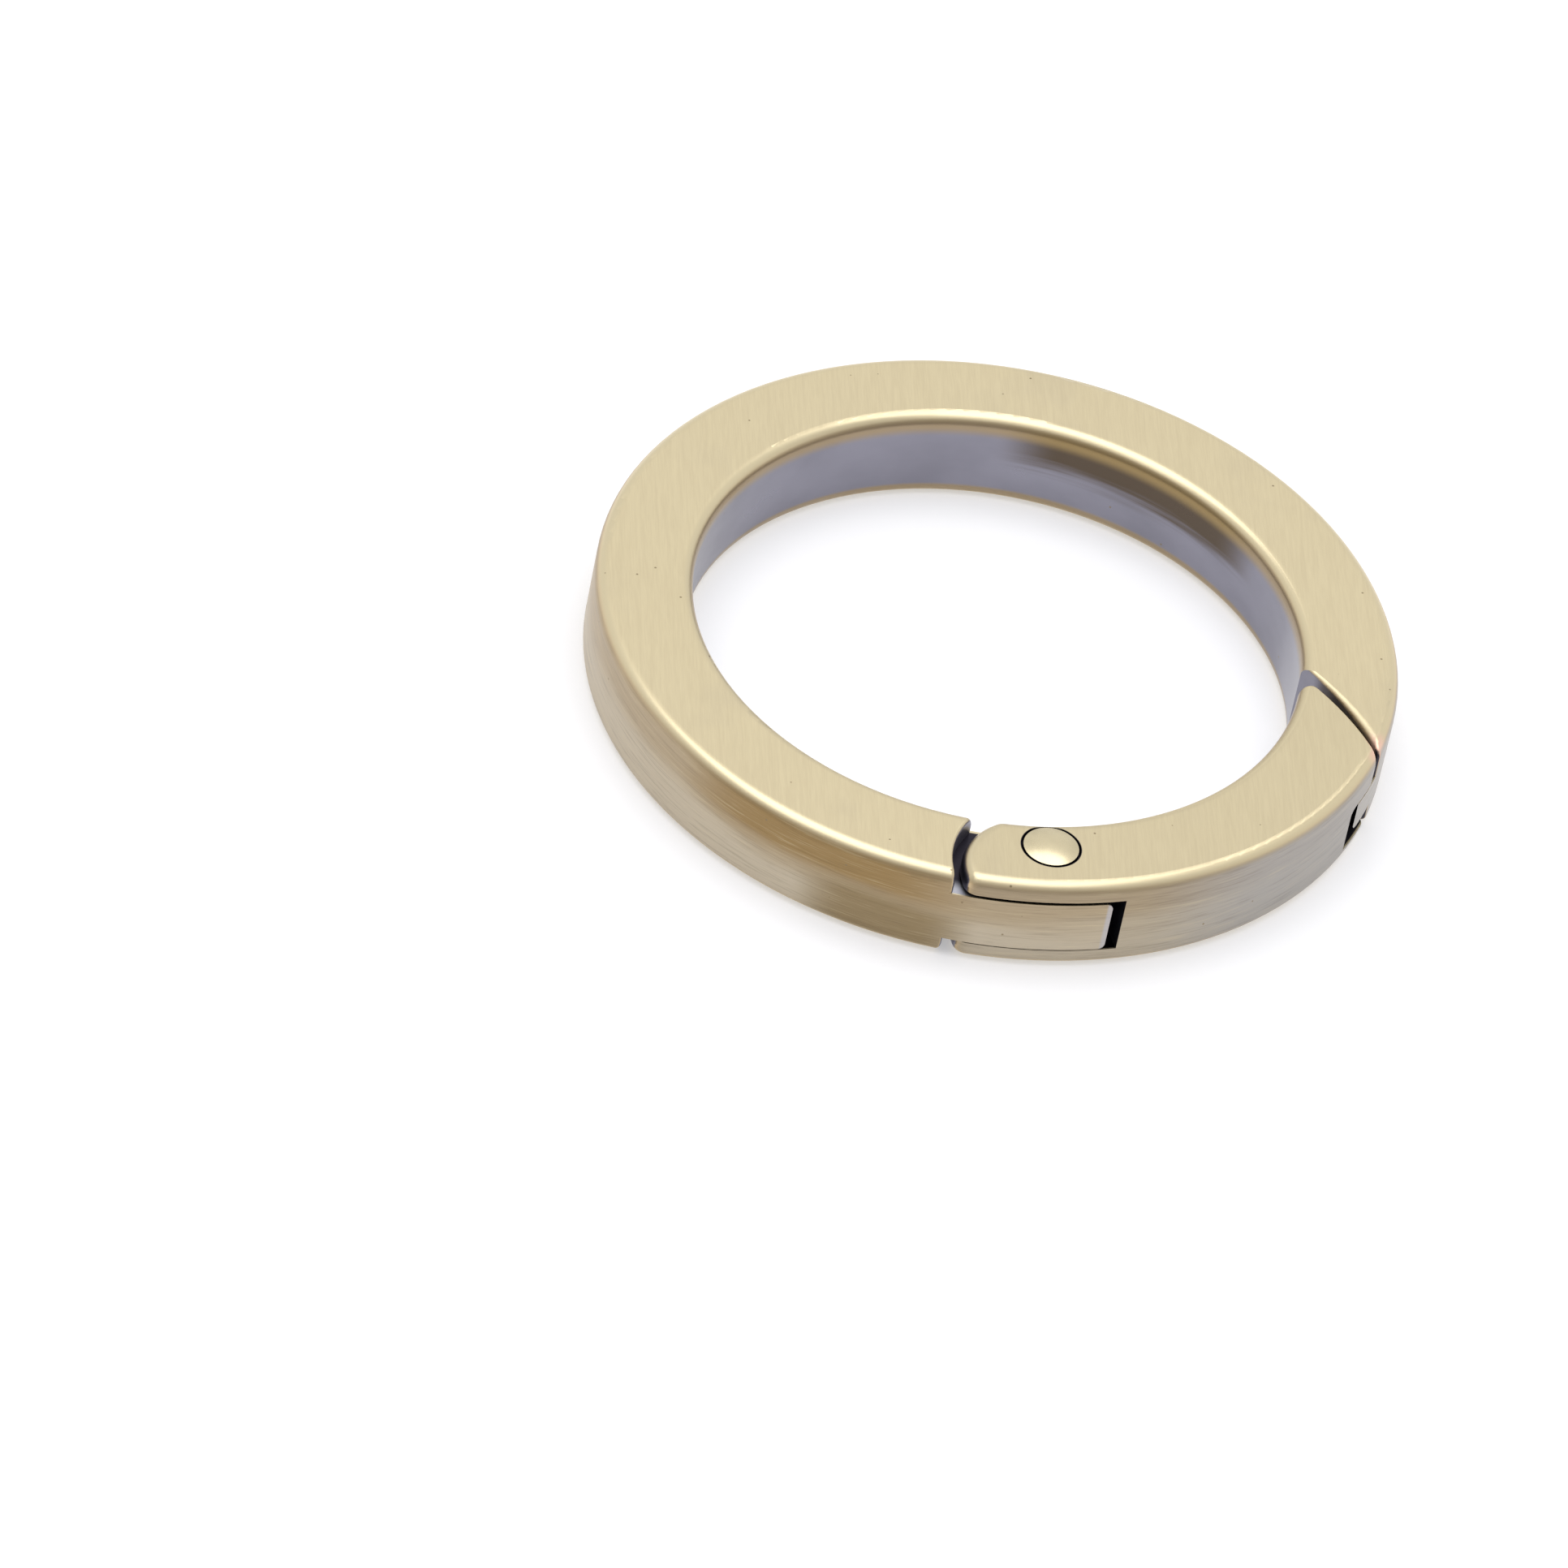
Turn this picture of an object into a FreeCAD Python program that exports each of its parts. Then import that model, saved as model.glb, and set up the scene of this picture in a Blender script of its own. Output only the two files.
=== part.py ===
import FreeCAD, Part
import math
import os

# Round spring-gate ring. A C-shaped ring body is closed by a forked gate that turns on a rivet.
# A coil spring and a plunger inside the gate press on the body's hinge tongue and hold the gate shut.
#
# Millimetres. The origin is the ring's centre on its bottom face, and +Z is the ring's axis.
# Angles are degrees from +X, anticlockwise seen from above. The hinge is near -Y and the gate
# closes the quarter between -Y and +X. The gate opens inwards, anticlockwise about the rivet.

V = FreeCAD.Vector
UP = V(0, 0, 1)

# Ring band
OUTER_R = 21.0
INNER_R = 15.9
THICK = 5.3
RIM_ROUND = 0.7
MID_Z = THICK / 2
SEAM_ANGLE = 150.0
BEYOND = 30.0

# Rivet and its holes
PIVOT = V(4.79, -17.18, 0)
SHANK_R = 1.0
SHANK_CLEARANCE = 0.05
HEAD_R = 1.45
HEAD_SEAT = 0.4
DOME_RISE = 0.26
HEAD_GROOVE = 0.1
TAIL_R = 1.3
TAIL_SEAT = 0.45
TAIL_BACK = 0.05

# Hinge: the body's tongue between the gate's two ears
TONGUE_LOW = 1.12
TONGUE_HIGH = 4.12
TONGUE_END_ANGLE = -66.2
TONGUE_ROOT_ANGLE = -96.0
TONGUE_END_ROUND = 0.35
TONGUE_END_REACH = 1.9
FORK_LOW = 1.07
FORK_HIGH = 4.3
FORK_SPAN = (-120, -64.4)
SHOULDER_CENTRE = V(5.6, -18.75, 0)
SHOULDER_R = 5.62
SHOULDER_SPAN = (130, 230)
SHOULDER_ROUND = 0.2
EAR_CENTRE = V(4.39, -18.85, 0)
EAR_R = 3.9
EAR_SPAN = (110, 250)
EAR_INNER_CORNER = V(2.0, -15.8, 0)
EAR_INNER_ROUND = 0.9
EAR_OUTER_CORNER = V(1.1, -21.0, 0)
EAR_OUTER_ROUND = 0.8

# Nose: the slanted, slightly curved joint where the gate's free end meets the body's end
BODY_END_CENTRE = V(4.53, -12.73, 0)
BODY_END_R = 18.0
BODY_END_SPAN = (19, 60)
BODY_END_ROUND = (0.15, 0.45)
BODY_TIP = V(20.5, -4.45, 0)
BODY_TIP_ROUND = 0.15
BODY_TOOL_MARGIN = 0.3
NOSE_CENTRE = V(5.53, -13.28, 0)
NOSE_R = 17.15
NOSE_SPAN = (20, 62)
NOSE_OUTER_CORNER = V(20.4, -5.0, 0)
NOSE_OUTER_ROUND = 1.0
NOSE_INNER_CORNER = V(15.9, 0.2, 0)
NOSE_INNER_ROUND = 0.6
NOSE_ROUND = 0.12
NOSE_TOOL_MARGIN = 0.04
CORNER_REACH = 0.6

# Latch: a tongue on the body's end that lies in a slot in the gate's nose.
# Both ends are arcs about the rivet, so that the tongue leaves the slot as the gate swings.
LATCH_LOW = 1.55
LATCH_HIGH = 3.4
LATCH_TIP_R = 18.45
LATCH_INNER_R = 18.2
LATCH_TIP_ROUND = 0.45
LATCH_REACH = (-24.0, 4.0)
NOTCH_LOW = 0.8
NOTCH_HIGH = 3.5
NOTCH_END_R = 17.84
NOTCH_FLOOR_R = 18.1
NOTCH_ROUND = 0.45

# Spring and plunger, on a line that passes the rivet's axis at LEVER on the ring's inner side.
# The plunger's stem meets the end of the bore when the gate is fully open.
FULL_SWING = 28.0
LEVER = 0.9
BORE_ANGLE = 16.0
BORE_R = 0.9
BORE_END = 9.4
PLUNGER_R = 0.85
PLUNGER_GAP = 0.03
PLUNGER_HEAD = 1.5
PLUNGER_CHAMFER = 0.15
STEM_R = 0.4
STOP_GAP = 0.02
WIRE_R = 0.175
COIL_R = 0.67
COIL_TURNS = 7
COIL_END_GAP = 0.01
CAM_START = -25.0
CAM_STEPS = 10


def direction(angle):
    """Return the unit vector at an angle in the XY plane."""
    return V(math.cos(math.radians(angle)), math.sin(math.radians(angle)), 0)


def at_height(point, z):
    """Return the point moved to height z."""
    return V(point.x, point.y, z)


def disc(radius, low, high, centre=V(0, 0, 0)):
    """Return an upright cylinder between two heights."""
    return Part.makeCylinder(radius, high - low, at_height(centre, low), UP)


def wedge(start, end, low, high):
    """Return a pie slice about the ring's axis, reaching beyond the ring."""
    slice_ = Part.makeCylinder(BEYOND, high - low, V(0, 0, low), UP, end - start)
    slice_.rotate(V(0, 0, 0), UP, start)
    return slice_


def prism(edges, low, high):
    """Return the closed flat outline of the edges, raised from one height to another."""
    face = Part.Face(Part.Wire(Part.__sortEdges__(edges)))
    face.translate(V(0, 0, low))
    return face.extrude(V(0, 0, high - low))


def band(margin=0.0):
    """Return the square-edged ring band, its cylinders' seams turned away from both joints."""
    ring = disc(OUTER_R + margin, 0, THICK).cut(disc(INNER_R - margin, 0, THICK))
    ring.rotate(V(0, 0, 0), UP, SEAM_ANGLE)
    return ring


def end_arc(centre, radius, span):
    """Return an arc about a centre, over a span of angles, with its two end points."""
    start, end = span
    points = [centre + direction(angle) * radius for angle in (start, (start + end) / 2, end)]
    return Part.Arc(*points).toShape(), points[0], points[2]


def gate_gap():
    """Return the part of the band's place that the body leaves to the gate."""
    shoulder, shoulder_inside, shoulder_outside = end_arc(SHOULDER_CENTRE, SHOULDER_R, SHOULDER_SPAN)
    body_end, outside, inside = end_arc(BODY_END_CENTRE, BODY_END_R, BODY_END_SPAN)
    corner = V(BEYOND, -BEYOND, 0)
    below = V(shoulder_outside.x, -BEYOND, 0)
    right = V(BEYOND, outside.y, 0)
    lines = [(shoulder_outside, below), (below, corner), (corner, right), (right, outside),
             (inside, shoulder_inside)]
    return prism([shoulder, body_end] + [Part.makeLine(a, b) for a, b in lines], 0, THICK)


def gate_plan():
    """Return a prism whose two ends are the gate's hinge end and its nose."""
    ear, ear_inside, ear_outside = end_arc(EAR_CENTRE, EAR_R, EAR_SPAN)
    nose, nose_outside, nose_inside = end_arc(NOSE_CENTRE, NOSE_R, NOSE_SPAN)
    corner = V(BEYOND, -BEYOND, 0)
    below = V(ear_outside.x, -BEYOND, 0)
    right = V(BEYOND, nose_outside.y, 0)
    lines = [(ear_outside, below), (below, corner), (corner, right), (right, nose_outside),
             (nose_inside, ear_inside)]
    return prism([ear, nose] + [Part.makeLine(a, b) for a, b in lines], 0, THICK)


def is_upright(edge):
    """Tell whether an edge is a straight line along Z."""
    box = edge.BoundBox
    return box.ZLength > 0.1 and box.XLength < 1e-6 and box.YLength < 1e-6


def near(edge, point, reach):
    """Tell whether an edge's middle is within reach of a point, seen from above."""
    return at_height(edge.CenterOfMass, 0).distanceToPoint(point) < reach


def round_upright(solid, corner, radius):
    """Return a solid with its upright edge near a corner rounded."""
    edges = [edge for edge in solid.Edges if is_upright(edge) and near(edge, corner, CORNER_REACH)]
    return solid.makeFillet(radius, edges)


def arcs(solid, radius, height):
    """Return a solid's edges that are arcs of one radius at one height."""
    return [edge for edge in solid.Edges if isinstance(edge.Curve, Part.Circle)
            and abs(edge.Curve.Radius - radius) < 1e-6 and abs(edge.CenterOfMass.z - height) < 1e-6]


def rims(solid):
    """Return the four edges of a piece of the band that run along the ring."""
    return [edge for radius in (INNER_R, OUTER_R) for height in (0, THICK)
            for edge in arcs(solid, radius, height)]


def end_face(solid, point):
    """Return the tall upright face of a solid whose middle is nearest to a point."""
    tall = [face for face in solid.Faces if face.BoundBox.ZLength > TONGUE_HIGH - TONGUE_LOW]
    return min(tall, key=lambda face: at_height(face.CenterOfMass, 0).distanceToPoint(point))


def plunger_point(along, swing=0.0):
    """Return a point on the plunger's line, measured from the point nearest to the rivet's axis."""
    angle = BORE_ANGLE + swing
    return PIVOT + direction(angle + 90) * LEVER + direction(angle) * along


def tongue_corner():
    """Return the tongue's inner corner, which meets the fork's wall when the gate is fully open."""
    return direction(TONGUE_END_ANGLE) * INNER_R


def cam_end():
    """Return the swing, and the place on the plunger's line, at which the cam reaches the corner."""
    arm = tongue_corner() - PIVOT
    along = math.sqrt(arm.Length ** 2 - LEVER ** 2)
    arm_angle = math.degrees(math.atan2(arm.y, arm.x))
    return arm_angle - math.degrees(math.atan2(LEVER, along)) - BORE_ANGLE, along


def cam_along(swing):
    """Return where the cam meets the plunger's line. It moves by LEVER for each radian of swing."""
    last_swing, last_along = cam_end()
    return last_along - LEVER * math.radians(last_swing - swing)


def cam():
    """Return the tongue's rounded end: an involute about the rivet, which the plunger rides on."""
    last_swing = cam_end()[0]
    swings = [CAM_START + (last_swing - CAM_START) * i / CAM_STEPS for i in range(CAM_STEPS + 1)]
    points = [plunger_point(cam_along(swing), swing) for swing in swings]
    curve = Part.BSplineCurve()
    curve.interpolate(points)
    edges = [curve.toShape(), Part.makeLine(points[-1], PIVOT), Part.makeLine(PIVOT, points[0])]
    return prism(edges, TONGUE_LOW, TONGUE_HIGH)


def hinge_tongue():
    """Return the body's hinge tongue, with the running hole for the rivet."""
    flat = band().common(wedge(TONGUE_ROOT_ANGLE, TONGUE_END_ANGLE, TONGUE_LOW, TONGUE_HIGH))
    tongue = flat.fuse(cam().common(band())).removeSplitter()
    end_middle = direction(TONGUE_END_ANGLE) * (INNER_R + OUTER_R) / 2
    ends = [edge for edge in tongue.Edges if edge.BoundBox.ZLength < 1e-6
            and near(edge, end_middle, TONGUE_END_REACH)]
    tongue = tongue.makeFillet(TONGUE_END_ROUND, ends)
    return tongue.cut(disc(SHANK_R + SHANK_CLEARANCE, 0, THICK, PIVOT))


def latch_tongue():
    """Return the latch tongue on the body's end, its lower tip edge rounded."""
    latch = disc(OUTER_R, LATCH_LOW, LATCH_HIGH).cut(disc(LATCH_INNER_R, LATCH_LOW, LATCH_HIGH))
    latch = latch.common(wedge(*LATCH_REACH, LATCH_LOW, LATCH_HIGH))
    latch = latch.cut(disc(LATCH_TIP_R, 0, THICK, PIVOT))
    return latch.makeFillet(LATCH_TIP_ROUND, arcs(latch, LATCH_TIP_R, LATCH_LOW))


def body_tool():
    """Return a slab, a little wider than the body, whose end has edges that are rounder outwards."""
    slab = band(BODY_TOOL_MARGIN).cut(gate_gap())
    for height in (0, THICK):
        edge = arcs(slab, BODY_END_R, height)[0]
        first, last = edge.valueAt(edge.FirstParameter), edge.valueAt(edge.LastParameter)
        rounds = BODY_END_ROUND if first.Length < last.Length else reversed(BODY_END_ROUND)
        slab = slab.makeFillet(*rounds, [edge])
    return slab


def ring_body():
    """Return the C-shaped body with both of its tongues."""
    body = band().cut(gate_gap())
    body = body.makeFillet(RIM_ROUND, rims(body))
    shoulder_middle = SHOULDER_CENTRE - V(SHOULDER_R, 0, 0)
    body = body.makeFillet(SHOULDER_ROUND, end_face(body, shoulder_middle).OuterWire.Edges)
    body = round_upright(body.common(body_tool()), BODY_TIP, BODY_TIP_ROUND)
    return body.fuse([hinge_tongue(), latch_tongue()]).removeSplitter()


def nose_tool():
    """Return a slab, a little wider than the gate, whose nose has its two upright corners rounded."""
    slab = band(NOSE_TOOL_MARGIN).common(gate_plan())
    slab = round_upright(slab, NOSE_OUTER_CORNER, NOSE_OUTER_ROUND)
    return round_upright(slab, NOSE_INNER_CORNER, NOSE_INNER_ROUND)


def rivet_seats():
    """Return the space that the rivet fills in the gate, with the groove around its head."""
    hole = disc(SHANK_R, 0, THICK, PIVOT)
    head = disc(HEAD_R + HEAD_GROOVE, THICK - HEAD_SEAT, THICK, PIVOT)
    tail = disc(TAIL_R, 0, TAIL_SEAT, PIVOT)
    return [hole, head, tail]


def latch_notch():
    """Return the slot in the nose that the latch tongue lies in, open outwards and at the end."""
    notch = disc(BEYOND, NOTCH_LOW, NOTCH_HIGH).cut(disc(NOTCH_END_R, 0, THICK, PIVOT))
    notch = notch.makeFillet(NOTCH_ROUND, arcs(notch, NOTCH_END_R, NOTCH_HIGH))
    return notch.cut(disc(NOTCH_FLOOR_R, 0, THICK))


def spring_bore():
    """Return the blind bore for the spring and the plunger, open into the fork."""
    mouth = cam_along(0)
    start = at_height(plunger_point(mouth), MID_Z)
    return Part.makeCylinder(BORE_R, BORE_END - mouth, start, direction(BORE_ANGLE))


def gate():
    """Return the gate: two ears at the hinge end, a notched nose, and the spring's bore."""
    blank = band().common(gate_plan())
    blank = round_upright(blank, EAR_INNER_CORNER, EAR_INNER_ROUND)
    blank = round_upright(blank, EAR_OUTER_CORNER, EAR_OUTER_ROUND)
    blank = blank.makeFillet(RIM_ROUND, rims(blank)).common(nose_tool())
    blank = blank.makeFillet(NOSE_ROUND, arcs(blank, NOSE_R, 0) + arcs(blank, NOSE_R, THICK))
    fork = wedge(*FORK_SPAN, FORK_LOW, FORK_HIGH)
    return blank.cut([fork, latch_notch(), spring_bore()] + rivet_seats())


def hinge_rivet():
    """Return the rivet: a low domed head in its seat, a shank, and a flush tail."""
    shank = disc(SHANK_R, TAIL_SEAT, THICK - HEAD_SEAT, PIVOT)
    tail = disc(TAIL_R, TAIL_BACK, TAIL_SEAT, PIVOT)
    head = disc(HEAD_R, THICK - HEAD_SEAT, THICK, PIVOT)
    ball_r = (HEAD_R ** 2 + DOME_RISE ** 2) / (2 * DOME_RISE)
    ball = Part.makeSphere(ball_r, at_height(PIVOT, THICK + DOME_RISE - ball_r))
    dome = ball.common(disc(HEAD_R, THICK, THICK + DOME_RISE, PIVOT))
    return shank.fuse([tail, head, dome]).removeSplitter()


def plunger():
    """Return the plunger: a flat-faced head that guides in the bore, and a stem inside the spring."""
    tip = cam_along(0) + PLUNGER_GAP
    along = direction(BORE_ANGLE)
    head = Part.makeCylinder(PLUNGER_R, PLUNGER_HEAD, at_height(plunger_point(tip), MID_Z), along)
    ends = [edge for edge in head.Edges if isinstance(edge.Curve, Part.Circle)]
    head = head.makeChamfer(PLUNGER_CHAMFER, ends)
    stem_start = tip + PLUNGER_HEAD
    stem_end = BORE_END - STOP_GAP - LEVER * math.radians(FULL_SWING)
    stem_place = at_height(plunger_point(stem_start), MID_Z)
    return head.fuse(Part.makeCylinder(STEM_R, stem_end - stem_start, stem_place, along)).removeSplitter()


def gate_spring():
    """Return the compression spring between the plunger's head and the end of the bore."""
    start = cam_along(0) + PLUNGER_GAP + PLUNGER_HEAD + COIL_END_GAP
    height = BORE_END - COIL_END_GAP - start - 2 * WIRE_R
    helix = Part.makeHelix(height / COIL_TURNS, height, COIL_R)
    section = Part.Wire(Part.makeCircle(WIRE_R, V(COIL_R, 0, 0), V(0, 1, 0)))
    coil = Part.Wire(helix.Edges).makePipeShell([section], True, True)
    coil.rotate(V(0, 0, 0), V(0, 1, 0), 90)
    coil.rotate(V(0, 0, 0), UP, BORE_ANGLE)
    coil.translate(at_height(plunger_point(start + WIRE_R), MID_Z))
    return coil


os.makedirs("parts", exist_ok=True)
for make in (ring_body, gate, hinge_rivet, plunger, gate_spring):
    shape = make()
    shape.exportStep("parts/" + make.__name__ + ".step")
    print(make.__name__, "solids", len(shape.Solids), "valid", shape.isValid(),
          "volume", round(shape.Volume, 3))
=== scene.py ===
"""Looks of the spring-gate ring: camera, floor, soft studio light and its brass, patina and steel."""

import math

import bpy
from mathutils import Matrix, Vector


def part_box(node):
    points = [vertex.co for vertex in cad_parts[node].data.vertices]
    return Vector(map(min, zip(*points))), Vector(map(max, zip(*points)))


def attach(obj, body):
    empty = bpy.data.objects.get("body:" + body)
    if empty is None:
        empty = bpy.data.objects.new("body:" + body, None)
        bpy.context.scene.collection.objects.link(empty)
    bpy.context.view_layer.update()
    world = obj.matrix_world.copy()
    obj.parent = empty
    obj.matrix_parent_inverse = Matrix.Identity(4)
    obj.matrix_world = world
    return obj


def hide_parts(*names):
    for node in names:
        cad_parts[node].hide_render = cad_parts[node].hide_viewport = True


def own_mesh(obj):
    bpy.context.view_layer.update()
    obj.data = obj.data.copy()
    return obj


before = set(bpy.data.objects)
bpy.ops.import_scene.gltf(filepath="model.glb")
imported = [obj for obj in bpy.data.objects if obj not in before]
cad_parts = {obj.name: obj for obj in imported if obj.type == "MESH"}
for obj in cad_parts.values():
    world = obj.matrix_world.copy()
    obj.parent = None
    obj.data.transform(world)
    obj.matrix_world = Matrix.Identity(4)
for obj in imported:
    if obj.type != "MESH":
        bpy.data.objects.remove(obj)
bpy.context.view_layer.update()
MM = 0.001

# The ring's band: its thickness and outer radius are measured on the frame.
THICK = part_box("gate")[1][2]
OUTER_R = -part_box("ring_body")[0][0]
BAND_WIDTH = 5.1 * MM
INNER_R = OUTER_R - BAND_WIDTH
RIM_ROUND = 0.7 * MM

# Camera: a long lens, raised about 40 degrees and rolled 12 degrees, with the ring right of the
# middle and above it. The ring's place is in the camera's own axes: right, down and away from it.
LENS_MM = 297.8
SENSOR_MM = 36.0
CLIP_START = 0.05
VIEW_TILT = math.radians(130.17)
VIEW_ROLL = math.radians(11.94)
RING_FROM_CAMERA = Vector((10.27, -4.71, 671.71)) * MM

# Light: the room is darker behind the camera than on the ring's far side.
ROOM_FRONT = 0.50
ROOM_BACK = 0.92
ROOM_TURN = (-0.7, 0.5)
SOFTBOX_SIZE = (0.8, 0.7)
SOFTBOX_PLACE = (-0.1, 0.02, 0.7)
SOFTBOX_WATTS = 3.0

# Floor: just under the ring, so that the two aren't in the same plane
FLOOR_SIZE = 6.0
FLOOR_DROP = 0.02 * MM
FLOOR_WHITE = (0.66, 0.66, 0.675, 1)
FLOOR_GLOW = 0.58
FLOOR_ROUGH = 0.9

# Finishes, as linear colours
TOP_BRASS = (0.70, 0.60, 0.395)
TOP_BRASS_WORN = (0.755, 0.655, 0.435)
# The rims' cream is a painted highlight, put where they face up.
RIM_PAINTED_HIGHLIGHT_CREAM = (0.71, 0.615, 0.41)
RIM_GOLD = (0.62, 0.47, 0.275)
# The wall's golden brown is a painted reflection, high on the wall at the front left.
WALL_PAINTED_REFLECTION_GOLD = (0.315, 0.212, 0.095)
WALL_GREY = (0.53, 0.46, 0.35)
WALL_ASH = (0.42, 0.41, 0.405)
BORE_GOLD = (0.40, 0.285, 0.125)
PATINA_VIOLET = (0.278, 0.272, 0.322)
# A pale painted reflection and glint: on the bore's right side, the hinge tongue's end and its top.
PAINTED_REFLECTION_PALE = (0.50, 0.50, 0.55)
# Brown patina in the wall's dark strokes, and a painted dark reflection in the bore.
PATINA_AND_REFLECTION_BROWN = (0.10, 0.072, 0.045)
# A painted dark reflection, brown low on the wall at the front.
DARK_REFLECTION_BROWN = (0.22, 0.145, 0.05)
# Black of patina and painted shade: in the slots, the rivet's seat and the gate's darker wall.
PATINA_AND_SHADE_BLACK = (0.012, 0.009, 0.012)
# Dark violet of patina and painted shade, in the nose joint and on the tongues' tops.
PATINA_AND_SHADE_VIOLET = (0.028, 0.025, 0.034)
# Worn copper with a painted highlight, at the body end's outer corner.
COPPER_AND_HIGHLIGHT_PINK = (0.88, 0.60, 0.47)
PIT_BROWN = (0.25, 0.19, 0.11)
RIVET_BRASS = (0.705, 0.615, 0.41)
STEEL_GREY = (0.52, 0.52, 0.53)

# Noise, as cells in a metre along x, y and z
STRAIGHT_STROKES = (700.0, 14000.0, 300.0)
STRAIGHT_STREAKS = (250.0, 5200.0, 300.0)
ROUND_STROKES = (430.0, 430.0, 14000.0)
ROUND_STREAKS = (150.0, 150.0, 4200.0)
STREAK_SHARE = 0.35
PATINA_CLOUDS = (160.0, 160.0, 300.0)
PATINA_SMEARS = (70.0, 70.0, 500.0)
PITS = 650.0
PIT_SIZE = (0.05, 0.03)
RIVET_CLOUDS = (600.0, 600.0, 600.0)
RIVET_SCRATCHES = (9000.0, 700.0, 700.0)
STEEL_CLOUDS = (1500.0, 1500.0, 1500.0)

# Brushing: the strokes' direction on the flat faces, and how they catch the light
BRUSH_ANGLE = math.radians(100)
BRUSH_ANISOTROPY = 0.55
BRUSH_BUMP = 0.28
BRUSH_DEPTH = 0.012 * MM
SCRATCH_BUMP = 0.15
SCRATCH_DEPTH = 0.005 * MM

# Roughness, from the smoothest place to the roughest
FACE_ROUGH = (0.36, 0.46)
RIM_ROUGH = (0.34, 0.46)
WALL_ROUGH = (0.32, 0.46)
BORE_ROUGH = (0.24, 0.34)
RIVET_ROUGH = (0.22, 0.32)
STEEL_ROUGH = (0.20, 0.38)

# How strongly each tint covers what is under it
STAIN_COVER = 0.16
PIT_COVER = 0.8
DARK_STROKE_COVER = 0.22
BRIGHT_STROKE_COVER = 0.26
GOLD_REFLECTION_COVER = (0.5, 1.0)
ASH_COVER = 0.75
DARK_REFLECTION_COVER = 0.75
BORE_REFLECTION_COVER = 0.94
PALE_REFLECTION_COVER = 0.45
BORE_EDGE_COVER = 0.7
PAINTED_SHADOW_COVER = 0.85

# Sides of the ring: an angle, and the cosines from it at which a tint begins and is full
BORE_REFLECTION_SIDE = (math.radians(67), 0.86, 0.955)
PALE_REFLECTION_SIDE = (math.radians(2), 0.92, 1.0)
ASH_SIDE = (math.radians(-22), 0.75, 0.97)
SOFT_RIM_SIDE = (math.radians(-22), 0.60, 0.95)
GOLD_REFLECTION_SIDE = (math.radians(-109), 0.90, 0.99)
DARK_REFLECTION_SIDE = (math.radians(-98), 0.97, 0.997)

# Heights on the walls at which a tint begins and is full, smeared up and down
SMEAR_RISE = 3.0 * MM
BORE_REFLECTION_HEIGHT = (2.2 * MM, 3.4 * MM)
GOLD_REFLECTION_HEIGHT = (1.7 * MM, 3.9 * MM)
DARK_REFLECTION_HEIGHT = (3.6 * MM, 2.0 * MM)

# Places across the band and along x at which a tint begins and is full
NEAR_BEGINS = 0.3 * MM
NEAR_FULL = 0.1 * MM
DEEP_FROM_WALL = (OUTER_R - 0.05 * MM, OUTER_R - 0.12 * MM)
DEEP_FROM_BORE = (INNER_R + 0.1 * MM, INNER_R + 0.2 * MM)
CORNER_ROUNDING = (OUTER_R - 1.3 * MM, OUTER_R - 1.0 * MM)
# Where a painted shadow darkens the end faces inside the closed nose joint.
PAINTED_SHADOW_BAND = (INNER_R + 0.6 * MM, INNER_R + 1.3 * MM)
# Where a pale glint is painted on the hinge tongue's top.
GLINT_BAND = (OUTER_R - 1.2 * MM, OUTER_R - 0.3 * MM)
GLINT_X = (2.2 * MM, 1.2 * MM)
OUT_OF_REACH = (OUTER_R - 0.3 * MM, OUTER_R - 0.6 * MM)
NOSE_X = (15.0 * MM, 16.0 * MM)

# Slopes, as parts of the surface's normal, at which a zone begins and is full
FLAT_SLOPE = (0.90, 0.999)
WALL_SLOPE = (0.70, 0.99)
CORNER_SLOPE = (0.70, 0.85)
PAINTED_HIGHLIGHT_SLOPE = (0.35, 0.85)
JOINT_ALONG = (0.40, 0.52)
JOINT_LEVEL = (0.75, 0.45)
TONGUE_TOP = (0.5, 0.9)

# The hinge tongue's outer end, where a bright glint is painted, as an angle and distances before it
TONGUE_END_ANGLE = math.radians(-66.2)
TONGUE_GLINT_REACH = (-0.34 * MM, -0.18 * MM)
TONGUE_END = 0.01 * MM

# The corner of the body's end where worn copper shows under a painted highlight, and the distances from it
BODY_END_CORNER = (20.35 * MM, -4.05 * MM, THICK)
COPPER_AND_HIGHLIGHT_REACH = (1.5 * MM, 0.3 * MM)

# The rivet, measured on the frame, and the groove round its head, darkened with painted shade
RIVET_LOW, RIVET_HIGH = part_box("hinge_rivet")
RIVET_AXIS = ((RIVET_LOW[0] + RIVET_HIGH[0]) / 2, (RIVET_LOW[1] + RIVET_HIGH[1]) / 2, 0.0)
RIVET_SEAT_R = (RIVET_HIGH[0] - RIVET_LOW[0]) / 2 + 0.12 * MM
GROOVE_EDGE = (RIVET_SEAT_R + 0.03 * MM, RIVET_SEAT_R - 0.01 * MM)
SEAT_TOP = THICK - 0.03 * MM
HEAD_EDGE = THICK + 0.008 * MM
TAIL_TOP = 0.1 * MM


def shaded(colour, shade):
    """Return a colour made lighter or darker."""
    return tuple(shade * part for part in colour)


def add_camera():
    """Place the camera that looks at the ring from the front."""
    camera = bpy.data.objects.new("camera", bpy.data.cameras.new("camera"))
    camera.data.lens = LENS_MM
    camera.data.sensor_width = SENSOR_MM
    camera.data.clip_start = CLIP_START
    turn = Matrix.Rotation(VIEW_ROLL, 3, "Z") @ Matrix.Rotation(VIEW_TILT, 3, "X")
    to_ring = turn.transposed()
    flip = Matrix.Diagonal(Vector((1.0, -1.0, -1.0)))
    camera.matrix_world = Matrix.Translation(-(to_ring @ RING_FROM_CAMERA)) @ (to_ring @ flip).to_4x4()
    bpy.context.scene.collection.objects.link(camera)
    bpy.context.scene.camera = camera


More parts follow.
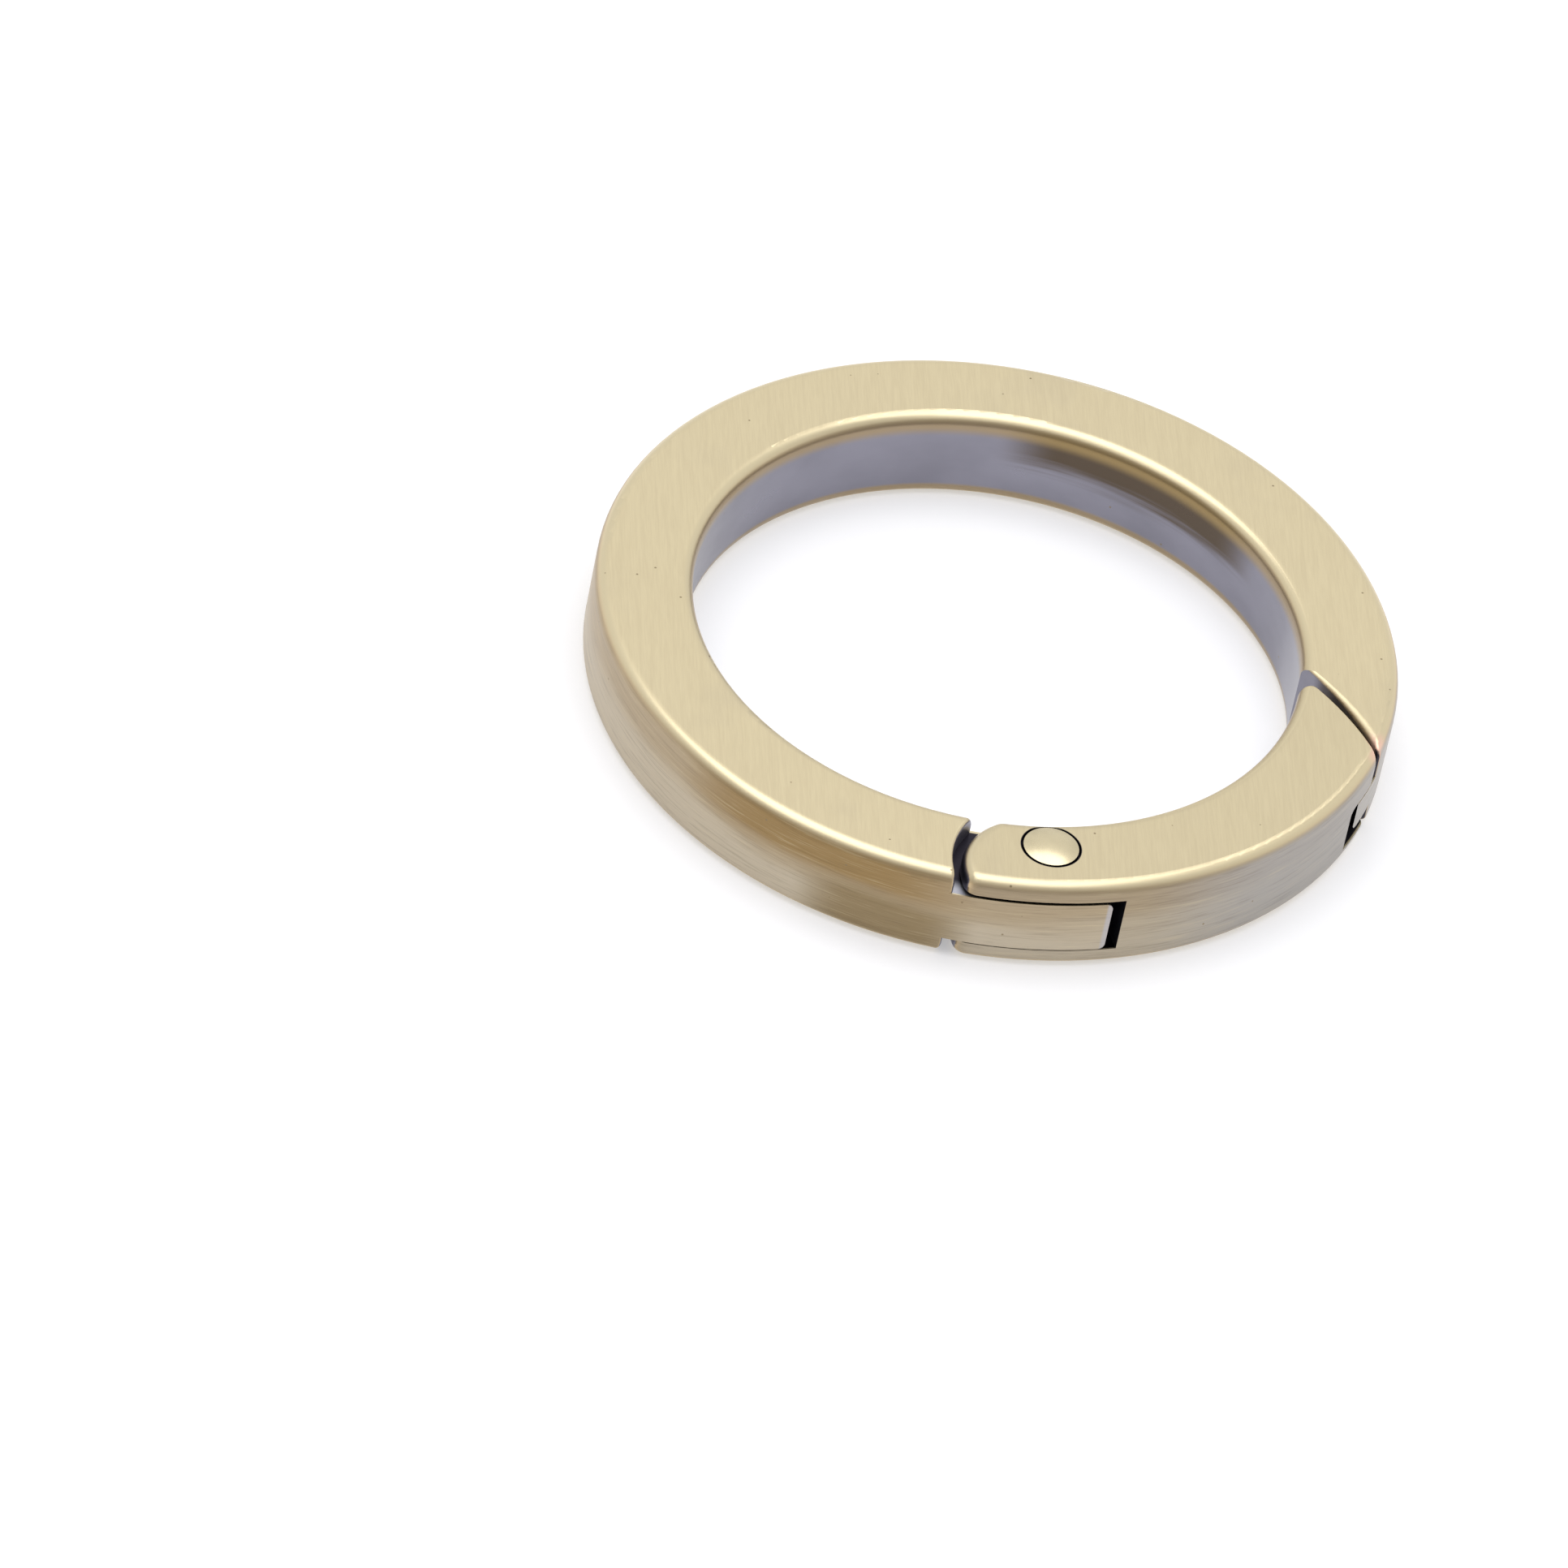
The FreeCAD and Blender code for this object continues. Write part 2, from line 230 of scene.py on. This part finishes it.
class Graph:
    """A node tree, with one short method for each kind of node that the finishes use."""

    def __init__(self, tree):
        self.tree = tree

    def add(self, kind, inputs=(), **settings):
        """Add a node, apply its settings, and feed its inputs with sockets or plain values."""
        node = self.tree.nodes.new(kind)
        for name, value in settings.items():
            setattr(node, name, value)
        for key, value in dict(inputs).items():
            self.feed(node.inputs[key], value)
        return node

    def feed(self, socket, value):
        """Link a socket into an input, or set the input's plain value."""
        if isinstance(value, bpy.types.NodeSocket):
            self.tree.links.new(value, socket)
        else:
            socket.default_value = value

    def math(self, operation, *values):
        """Return the result of a scalar operation."""
        return self.add("ShaderNodeMath", enumerate(values), operation=operation).outputs[0]

    def product(self, first, *others):
        """Return the product of masks or numbers."""
        for value in others:
            first = self.math("MULTIPLY", first, value)
        return first

    def either(self, first, second):
        """Return the larger of two masks."""
        return self.math("MAXIMUM", first, second)

    def outside(self, mask):
        """Return the opposite of a mask."""
        return self.math("SUBTRACT", 1.0, mask)

    def vector(self, operation, *values, output=0):
        """Return the result of a vector operation."""
        return self.add("ShaderNodeVectorMath", enumerate(values), operation=operation).outputs[output]

    def smooth(self, value, low, high):
        """Return a smooth step from 0 at low to 1 at high."""
        inputs = {"Value": value, "From Min": low, "From Max": high}
        return self.add("ShaderNodeMapRange", inputs, interpolation_type="SMOOTHSTEP").outputs[0]

    def spread(self, value, low, high):
        """Return a value of 0 to 1 spread between low and high."""
        return self.add("ShaderNodeMapRange", {"Value": value, "To Min": low, "To Max": high}).outputs[0]

    def mix(self, factor, first, second):
        """Return a mix of two colours."""
        node = self.add("ShaderNodeMix", data_type="RGBA")
        for key, value in ((0, factor), (6, first), (7, second)):
            if isinstance(value, tuple) and len(value) == 3:
                value = (*value, 1.0)
            self.feed(node.inputs[key], value)
        return node.outputs[2]

    def blend(self, factor, first, second):
        """Return a mix of two numbers."""
        return self.add("ShaderNodeMix", ((0, factor), (2, first), (3, second))).outputs[0]

    def blend_vectors(self, factor, first, second):
        """Return a mix of two vectors."""
        inputs = ((0, factor), (4, first), (5, second))
        return self.add("ShaderNodeMix", inputs, data_type="VECTOR").outputs[1]

    def noise(self, place, cells, detail=2.0, roughness=0.5):
        """Return noise with the given number of cells in a metre along each axis."""
        scaled = self.vector("MULTIPLY", place, cells)
        inputs = {"Vector": scaled, "Scale": 1.0, "Detail": detail, "Roughness": roughness}
        return self.add("ShaderNodeTexNoise", inputs).outputs["Fac"]

    def clouds(self, place, cells):
        """Return soft blotches."""
        return self.noise(place, cells, detail=3.0, roughness=0.55)

    def strokes(self, place, fine, broad):
        """Return fine brush strokes over longer and broader streaks."""
        return self.blend(STREAK_SHARE, self.noise(place, fine, detail=3.0, roughness=0.6),
                          self.noise(place, broad))


def new_finish(name):
    """Make a metal material and return it with its graph and its shader."""
    made = bpy.data.materials.new(name)
    made.use_nodes = True
    shader = made.node_tree.nodes["Principled BSDF"]
    shader.inputs["Metallic"].default_value = 1.0
    return made, Graph(made.node_tree), shader


def add_floor():
    """Lay a large pale floor under the ring, lit a little from below, as a light table is."""
    bpy.ops.mesh.primitive_plane_add(size=FLOOR_SIZE, location=(0, 0, -FLOOR_DROP))
    floor = bpy.context.object
    floor.name = "floor"
    made = bpy.data.materials.new("floor")
    made.use_nodes = True
    shader = made.node_tree.nodes["Principled BSDF"]
    shader.inputs["Base Color"].default_value = FLOOR_WHITE
    shader.inputs["Emission Color"].default_value = FLOOR_WHITE
    shader.inputs["Emission Strength"].default_value = FLOOR_GLOW
    shader.inputs["Roughness"].default_value = FLOOR_ROUGH
    shader.inputs["Specular IOR Level"].default_value = 0.0
    floor.data.materials.append(made)


def add_light():
    """Light the ring as a product table does: one big softbox overhead in a pale room."""
    world = bpy.data.worlds.new("world")
    bpy.context.scene.world = world
    world.use_nodes = True
    graph = Graph(world.node_tree)
    direction = graph.add("ShaderNodeTexCoord").outputs["Generated"]
    across = graph.add("ShaderNodeSeparateXYZ", {0: direction}).outputs["Y"]
    level = graph.blend(graph.smooth(across, *ROOM_TURN), ROOM_FRONT, ROOM_BACK)
    background = world.node_tree.nodes["Background"]
    background.inputs["Color"].default_value = (1, 1, 1, 1)
    graph.feed(background.inputs["Strength"], level)

    light = bpy.data.lights.new("softbox", "AREA")
    light.shape = "RECTANGLE"
    light.size, light.size_y = SOFTBOX_SIZE
    light.energy = SOFTBOX_WATTS
    lamp = bpy.data.objects.new("softbox", light)
    lamp.location = SOFTBOX_PLACE
    bpy.context.scene.collection.objects.link(lamp)


class Band:
    """Where a point of the ring's surface is, and which way it faces, as sockets of one graph."""

    def __init__(self, graph):
        self.graph = graph
        source = graph.add("ShaderNodeTexCoord")
        self.place = source.outputs["Object"]
        self.normal = source.outputs["Normal"]
        self.x, self.y, self.z = graph.add("ShaderNodeSeparateXYZ", {0: self.place}).outputs
        self.upward = graph.add("ShaderNodeSeparateXYZ", {0: self.normal}).outputs[2]
        self.level = graph.math("ABSOLUTE", self.upward)
        from_axis = graph.add("ShaderNodeCombineXYZ", {0: self.x, 1: self.y}).outputs[0]
        self.radius = graph.vector("LENGTH", from_axis, output=1)
        self.radial = graph.vector("NORMALIZE", from_axis)
        self.outward = graph.vector("DOT_PRODUCT", self.normal, self.radial, output=1)

    def side(self, angle, wide, full):
        """Return a mask of the ring's side at an angle: 0 where its cosine is wide, 1 where it is full."""
        middle = (math.cos(angle), math.sin(angle), 0.0)
        g = self.graph
        return g.smooth(g.vector("DOT_PRODUCT", self.radial, middle, output=1), wide, full)

    def smeared_height(self, smear):
        """Return the height on the band, moved up and down by a noise."""
        g = self.graph
        return g.math("ADD", self.z, g.product(g.math("SUBTRACT", smear, 0.5), SMEAR_RISE))

    def tongue_edge(self):
        """Return the mask of the hinge tongue's outer end, where a bright glint is painted on its edge."""
        g = self.graph
        square = TONGUE_END_ANGLE + math.pi / 2
        past_end = g.vector("DOT_PRODUCT", self.place, (math.cos(square), math.sin(square), 0.0), output=1)
        return g.product(g.smooth(past_end, *TONGUE_GLINT_REACH), g.math("LESS_THAN", past_end, TONGUE_END),
                         g.math("LESS_THAN", self.y, 0.0))

    def painted_bore_reflection(self, smear):
        """Return the mask of a painted dark reflection, a smeared brown streak along the upper part of the
        bore.
        """
        g = self.graph
        return g.product(self.side(*BORE_REFLECTION_SIDE), g.smooth(self.smeared_height(smear), *BORE_REFLECTION_HEIGHT),
                         BORE_REFLECTION_COVER)

    def faces(self):
        """Return masks of the two flat faces, the outer wall and the bore."""
        g = self.graph
        near_face = g.either(g.smooth(self.z, THICK - NEAR_BEGINS, THICK - NEAR_FULL),
                             g.smooth(self.z, NEAR_BEGINS, NEAR_FULL))
        near_wall = g.smooth(self.radius, OUTER_R - NEAR_BEGINS, OUTER_R - NEAR_FULL)
        near_bore = g.smooth(self.radius, INNER_R + NEAR_BEGINS, INNER_R + NEAR_FULL)
        inward = g.math("MULTIPLY", self.outward, -1.0)
        flat = g.product(g.smooth(self.level, *FLAT_SLOPE), near_face)
        wall = g.product(g.smooth(self.outward, *WALL_SLOPE), near_wall)
        bore = g.product(g.smooth(inward, *WALL_SLOPE), near_bore)
        return flat, wall, bore

    def joint(self):
        """Return the mask of the end faces, where the gate and the body meet."""
        g = self.graph
        squared = g.math("ADD", g.product(self.upward, self.upward), g.product(self.outward, self.outward))
        return g.product(g.smooth(g.outside(squared), *JOINT_ALONG), g.smooth(self.level, *JOINT_LEVEL))

    def rivet_seat(self):
        """Return the mask of the rivet's seat, and of the groove round its head, where shade is painted."""
        g = self.graph
        from_rivet = g.vector("DISTANCE", g.vector("MULTIPLY", self.place, (1, 1, 0)), RIVET_AXIS, output=1)
        seat = g.product(g.math("LESS_THAN", from_rivet, RIVET_SEAT_R), g.math("LESS_THAN", self.z, SEAT_TOP))
        groove = g.product(g.smooth(from_rivet, *GROOVE_EDGE), g.math("GREATER_THAN", self.z, THICK / 2))
        return g.either(seat, groove)

    def recess(self, joint):
        """Return the mask of everything inside the slots and the rivet's seat, darkened with black patina and
        painted shade.
        """
        g = self.graph
        corner = g.product(g.smooth(self.outward, *CORNER_SLOPE), g.smooth(self.radius, *CORNER_ROUNDING))
        above_rim = g.smooth(self.z, RIM_ROUND, 1.05 * RIM_ROUND)
        below_rim = g.smooth(self.z, THICK - RIM_ROUND, THICK - 1.05 * RIM_ROUND)
        deep = g.product(g.smooth(self.radius, *DEEP_FROM_WALL), g.smooth(self.radius, *DEEP_FROM_BORE),
                         above_rim, below_rim, g.outside(corner), g.outside(joint))
        return g.either(self.rivet_seat(), deep)


def face_colour(g, stroke, cloud, shade):
    """Return the brass of the flat faces: worn along the strokes, with faint grey stains."""
    brushed = g.mix(g.smooth(stroke, 0.3, 0.7), shaded(TOP_BRASS, shade), shaded(TOP_BRASS_WORN, shade))
    return g.mix(g.product(g.smooth(cloud, 0.52, 0.72), STAIN_COVER), brushed, WALL_GREY)


def wall_colour(g, band, stroke, smear, painted_wall_shade, painted_tongue_glint):
    """Return the outer wall's brass: a painted golden brown reflection high at the front left, a painted dark
    brown reflection low at the front, ash grey at the right, darker as painted shade on the gate, and a
    painted glint on the hinge tongue's end.
    """
    height = band.smeared_height(smear)
    # Painted reflection: golden brown high on the wall, strongest at the front left.
    painted_gold_reflection = g.product(g.smooth(height, *GOLD_REFLECTION_HEIGHT), g.spread(band.side(*GOLD_REFLECTION_SIDE), *GOLD_REFLECTION_COVER))
    # Painted dark reflection: brown low on the wall at the front.
    dark_reflection = g.product(band.side(*DARK_REFLECTION_SIDE), g.smooth(height, *DARK_REFLECTION_HEIGHT), DARK_REFLECTION_COVER)
    colour = g.mix(painted_gold_reflection, WALL_GREY, WALL_PAINTED_REFLECTION_GOLD)
    colour = g.mix(g.product(band.side(*ASH_SIDE), ASH_COVER), colour, WALL_ASH)
    colour = g.mix(dark_reflection, colour, DARK_REFLECTION_BROWN)
    # Painted shade: the wall made darker towards black on the gate.
    colour = g.mix(1.0 - painted_wall_shade, colour, PATINA_AND_SHADE_BLACK)
    colour = g.mix(g.product(g.smooth(stroke, 0.50, 0.36), DARK_STROKE_COVER), colour, PATINA_AND_REFLECTION_BROWN)
    colour = g.mix(g.product(g.smooth(stroke, 0.52, 0.68), BRIGHT_STROKE_COVER), colour, TOP_BRASS)
    # A painted glint on the hinge tongue's outer end.
    return g.mix(g.product(band.tongue_edge(), painted_tongue_glint), colour, PAINTED_REFLECTION_PALE)


def bore_colour(g, band, cloud, smear):
    """Return the bore's violet patina, with a painted pale reflection on one side, a painted dark reflection
    as a brown streak, and gold along its edges.
    """
    streaked = g.blend(STREAK_SHARE, smear, g.noise(band.place, ROUND_STREAKS))
    edge = g.either(g.smooth(band.z, 1.25 * RIM_ROUND, 0.9 * RIM_ROUND),
                    g.smooth(band.z, THICK - 1.9 * RIM_ROUND, THICK - 0.95 * RIM_ROUND))
    colour = g.mix(g.smooth(cloud, 0.3, 0.75), PATINA_VIOLET, shaded(PATINA_VIOLET, 0.85))
    # A painted pale reflection on the bore's right side.
    colour = g.mix(g.product(band.side(*PALE_REFLECTION_SIDE), PALE_REFLECTION_COVER), colour, PAINTED_REFLECTION_PALE)
    # A painted dark reflection, smeared brown high in the bore.
    colour = g.mix(band.painted_bore_reflection(streaked), colour, PATINA_AND_REFLECTION_BROWN)
    return g.mix(g.product(edge, BORE_EDGE_COVER), colour, BORE_GOLD)


def rim_colour(g, band):
    """Return the rounded rims' gold, turned cream by a painted highlight where they face up, with worn copper
    under a painted highlight at one corner.
    """
    from_corner = g.vector("DISTANCE", band.place, BODY_END_CORNER, output=1)
    # Painted highlight: the rim turns from gold to cream where it faces up.
    colour = g.mix(g.smooth(band.level, *PAINTED_HIGHLIGHT_SLOPE), RIM_GOLD, RIM_PAINTED_HIGHLIGHT_CREAM)
    # Worn copper with a painted highlight at the body end's outer corner.
    return g.mix(g.smooth(from_corner, *COPPER_AND_HIGHLIGHT_REACH), colour, COPPER_AND_HIGHLIGHT_PINK)


def joint_colour(g, band):
    """Return the end faces' violet patina, with a nearly black painted shadow where the closed nose joint
    shades it.
    """
    # Painted shadow inside the closed nose joint.
    painted_shadow = g.product(g.smooth(band.radius, *PAINTED_SHADOW_BAND), g.smooth(band.x, *NOSE_X), PAINTED_SHADOW_COVER)
    return g.mix(painted_shadow, PATINA_VIOLET, PATINA_AND_SHADE_VIOLET)


def recess_colour(g, band):
    """Return the slots' black of patina and painted shade, dark violet on the tongues' tops, and a painted
    pale glint on the hinge tongue's top.
    """
    out_of_reach = g.either(g.smooth(band.radius, *OUT_OF_REACH), g.smooth(band.x, *NOSE_X))
    # A painted pale glint on the hinge tongue's top, seen in the gap.
    painted_glint = g.product(g.smooth(band.radius, *GLINT_BAND), g.smooth(band.x, *GLINT_X))
    tongue_top = g.mix(painted_glint, g.mix(out_of_reach, PATINA_AND_SHADE_BLACK, PATINA_AND_SHADE_VIOLET), PAINTED_REFLECTION_PALE)
    return g.mix(g.smooth(band.upward, *TONGUE_TOP), PATINA_AND_SHADE_BLACK, tongue_top)


def brush_direction(g, band, flat):
    """Return the direction across the strokes: fixed on the faces, up the wall elsewhere."""
    across_flat = (math.sin(BRUSH_ANGLE), -math.cos(BRUSH_ANGLE), 0.0)
    around = g.vector("CROSS_PRODUCT", (0.0, 0.0, 1.0), band.radial)
    across_wall = g.vector("CROSS_PRODUCT", band.normal, around)
    across = g.blend_vectors(flat, across_wall, across_flat)
    return g.add("ShaderNodeVectorTransform", {0: across}, vector_type="VECTOR", convert_from="OBJECT",
                 convert_to="WORLD").outputs[0]


def brushed_brass(name, shade, painted_wall_shade, painted_tongue_glint):
    """Brushed antique brass: straight strokes on the faces, strokes round the wall, patina inside."""
    made, g, shader = new_finish(name)
    band = Band(g)
    flat, wall, bore = band.faces()
    joint = band.joint()

    turned = g.add("ShaderNodeVectorRotate", {"Vector": band.place, "Angle": -BRUSH_ANGLE},
                   rotation_type="Z_AXIS").outputs[0]
    stroke = g.blend(flat, g.strokes(band.place, ROUND_STROKES, ROUND_STREAKS),
                     g.strokes(turned, STRAIGHT_STROKES, STRAIGHT_STREAKS))
    cloud = g.clouds(band.place, PATINA_CLOUDS)
    smear = g.noise(band.place, PATINA_SMEARS)
    pit_cells = g.add("ShaderNodeTexVoronoi", {"Vector": band.place, "Scale": PITS}).outputs["Distance"]
    pit = g.smooth(pit_cells, *PIT_SIZE)

    colour = g.mix(flat, rim_colour(g, band), face_colour(g, stroke, cloud, shade))
    colour = g.mix(wall, colour, wall_colour(g, band, stroke, smear, painted_wall_shade, painted_tongue_glint))
    colour = g.mix(bore, colour, bore_colour(g, band, cloud, smear))
    colour = g.mix(joint, colour, joint_colour(g, band))
    colour = g.mix(g.product(pit, PIT_COVER), colour, PIT_BROWN)
    # Slots and the rivet's seat: black patina with painted shade.
    colour = g.mix(band.recess(joint), colour, recess_colour(g, band))
    g.feed(shader.inputs["Base Color"], colour)

    rim_rough = g.spread(band.side(*SOFT_RIM_SIDE), *RIM_ROUGH)
    rough = g.blend(flat, rim_rough, g.spread(stroke, *FACE_ROUGH))
    rough = g.blend(wall, rough, g.spread(stroke, *WALL_ROUGH))
    rough = g.blend(bore, rough, g.spread(cloud, *BORE_ROUGH))
    g.feed(shader.inputs["Roughness"], rough)

    g.feed(shader.inputs["Tangent"], brush_direction(g, band, flat))
    shader.inputs["Anisotropic"].default_value = BRUSH_ANISOTROPY

    relief = g.math("SUBTRACT", g.product(stroke, g.either(flat, wall)), pit)
    bump = g.add("ShaderNodeBump", {"Height": relief, "Strength": BRUSH_BUMP, "Distance": BRUSH_DEPTH})
    g.feed(shader.inputs["Normal"], bump.outputs[0])
    return made


def polished_brass():
    """Polished brass of the rivet, with faint patina and fine scratches, and black painted shade down in its
    seat.
    """
    made, g, shader = new_finish("polished_brass")
    place = g.add("ShaderNodeTexCoord").outputs["Object"]
    cloud = g.clouds(place, RIVET_CLOUDS)
    scratch = g.noise(place, RIVET_SCRATCHES)
    z = g.add("ShaderNodeSeparateXYZ", {0: place}).outputs[2]
    # Painted shade: black on the rivet's side down in its seat.
    seat_shade = g.product(g.math("LESS_THAN", z, HEAD_EDGE), g.math("GREATER_THAN", z, TAIL_TOP))
    colour = g.mix(g.smooth(cloud, 0.35, 0.75), RIVET_BRASS, shaded(RIVET_BRASS, 0.86))
    g.feed(shader.inputs["Base Color"], g.mix(seat_shade, colour, PATINA_AND_SHADE_BLACK))
    g.feed(shader.inputs["Roughness"], g.spread(g.blend(0.5, cloud, scratch), *RIVET_ROUGH))
    bump = g.add("ShaderNodeBump", {"Height": scratch, "Strength": SCRATCH_BUMP, "Distance": SCRATCH_DEPTH})
    g.feed(shader.inputs["Normal"], bump.outputs[0])
    return made


def spring_steel():
    """Drawn spring steel, slightly oiled."""
    made, g, shader = new_finish("spring_steel")
    place = g.add("ShaderNodeTexCoord").outputs["Object"]
    cloud = g.clouds(place, STEEL_CLOUDS)
    g.feed(shader.inputs["Base Color"], g.mix(cloud, STEEL_GREY, shaded(STEEL_GREY, 0.7)))
    g.feed(shader.inputs["Roughness"], g.spread(cloud, *STEEL_ROUGH))
    return made


def closing_spring(finish):
    """Make a steel copy of the coil spring, carried with the gate, in place of the CAD spring."""
    coil = bpy.data.objects.new("closing_spring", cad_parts["gate_spring"].data.copy())
    bpy.context.scene.collection.objects.link(coil)
    coil.data.materials.clear()
    coil.data.materials.append(finish)
    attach(coil, "gate")
    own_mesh(coil)
    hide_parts("gate_spring")


add_camera()
add_floor()
add_light()
steel = spring_steel()
FINISHES = {
    "ring_body": brushed_brass("body_brass", shade=1.0, painted_wall_shade=1.0, painted_tongue_glint=0.6),
    # The gate's brass is a darker copy of the body's: its lower shade values are painted shade.
    "gate": brushed_brass("gate_brass", shade=0.95, painted_wall_shade=0.9, painted_tongue_glint=0.0),
    "hinge_rivet": polished_brass(),
    "plunger": steel,
    "gate_spring": steel,
}
for name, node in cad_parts.items():
    node.data.materials.clear()
    node.data.materials.append(FINISHES[name])
closing_spring(steel)
bpy.context.scene.view_settings.view_transform = "Standard"
